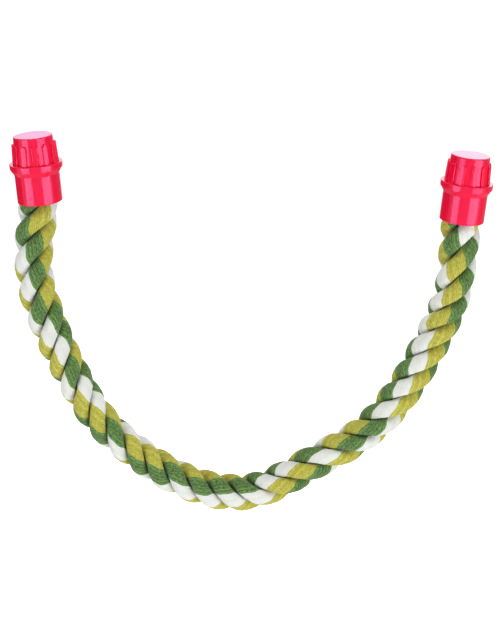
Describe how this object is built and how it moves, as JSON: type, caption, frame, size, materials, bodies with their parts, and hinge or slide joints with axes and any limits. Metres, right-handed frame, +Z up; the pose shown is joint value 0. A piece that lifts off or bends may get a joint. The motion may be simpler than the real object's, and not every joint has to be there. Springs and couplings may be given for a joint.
{
  "type": "bird perch",
  "caption": "Bendable rope perch for a bird cage: a thick laid rope in a hanging curve, with a ribbed screw clamp on each end that grips the cage bars.",
  "frame": {"origin": "middle of the left clamp's seat, where the washer meets the cup's lip", "axes": "+Z up as the perch hangs, +X from the left clamp to the right one, +Y away from the viewer"},
  "size_m": [0.3713, 0.0408, 0.3139],
  "materials": {
    "cotton_rope": "soft laid yarn in green, off-white and mustard",
    "core_steel": "plain annealed wire",
    "cap_plastic": "glossy moulded, pinkish red",
    "binding_tape": "matt fabric tape",
    "hot_melt": "waxy, cured"
  },
  "bodies": {
    "perch": {"rope": "cotton_rope", "core_wire": "core_steel", "left_rope_cup": "cap_plastic", "left_clamp_bolt": "cap_plastic", "left_end_tape": "binding_tape", "left_glue_bed": "hot_melt", "right_rope_cup": "cap_plastic", "right_clamp_bolt": "cap_plastic", "right_end_tape": "binding_tape", "right_glue_bed": "hot_melt"},
    "left_washer": {"left_clamp_washer": "cap_plastic"},
    "left_nut": {"left_cap_nut": "cap_plastic"},
    "right_washer": {"right_clamp_washer": "cap_plastic"},
    "right_nut": {"right_cap_nut": "cap_plastic"}
  },
  "joints": [
    {"name": "left_clamp_lift", "type": "slide", "parent": "perch", "child": "left_washer", "axis": [-0.0698, 0, 0.9976], "range_m": [0, 0.012]},
    {"name": "left_nut_turn", "type": "hinge", "parent": "left_washer", "child": "left_nut", "pos_m": [0, 0, 0], "axis": [-0.0698, 0, 0.9976], "range_deg": [0, 1440]},
    {"name": "right_clamp_lift", "type": "slide", "parent": "perch", "child": "right_washer", "axis": [0.0958, 0, 0.9954], "range_m": [0, 0.012]},
    {"name": "right_nut_turn", "type": "hinge", "parent": "right_washer", "child": "right_nut", "pos_m": [0.33, 0, -0.0153], "axis": [0.0958, 0, 0.9954], "range_deg": [0, 1440]}
  ],
  "couplings": [
    {"joint": "left_clamp_lift", "follows": "left_nut_turn", "m_per_rad": 0.00047746},
    {"joint": "right_clamp_lift", "follows": "right_nut_turn", "m_per_rad": 0.00047746}
  ]
}
